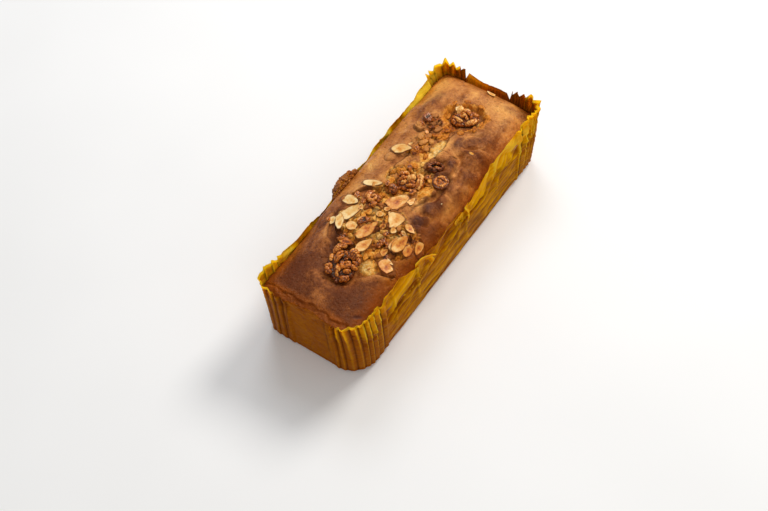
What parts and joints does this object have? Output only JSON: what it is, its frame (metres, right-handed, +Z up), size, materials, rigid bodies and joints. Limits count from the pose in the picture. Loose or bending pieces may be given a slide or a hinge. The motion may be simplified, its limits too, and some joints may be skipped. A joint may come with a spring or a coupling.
{
  "type": "walnut pound cake",
  "caption": "Loaf-shaped walnut pound cake in its pleated paper case, topped with walnut pieces and almond flakes.",
  "frame": {"origin": "centre of the paper case's flat bottom", "axes": "+X along the loaf's length towards its far end, +Y across it towards the left long side, +Z up"},
  "size_m": [0.2187, 0.0814, 0.063],
  "materials": {
    "crust": "matte baked crust, mid brown with a pale golden split",
    "paper": "yellow greaseproof paper, slightly glossy, amber where greasy",
    "walnut": "toasted kernels, satin",
    "almond": "toasted almond flakes, satin"
  },
  "bodies": {
    "root": {"almond_flake_01": "almond", "almond_flake_02": "almond", "almond_flake_03": "almond", "almond_flake_04": "almond", "almond_flake_05": "almond", "almond_flake_06": "almond", "almond_flake_07": "almond", "almond_flake_08": "almond", "almond_flake_09": "almond", "almond_flake_10": "almond", "almond_flake_11": "almond", "almond_flake_12": "almond", "almond_flake_13": "almond", "almond_flake_14": "almond", "almond_flake_15": "almond", "almond_flake_16": "almond", "almond_flake_17": "almond", "cake": "crust", "paper_case": "paper", "walnut_burnt": "walnut", "walnut_far": "walnut", "walnut_granular": "walnut", "walnut_middle": "walnut", "walnut_middle_dark": "walnut", "walnut_near": "walnut", "walnut_round": "walnut", "walnut_swirl": "walnut"}
  },
  "joints": []
}
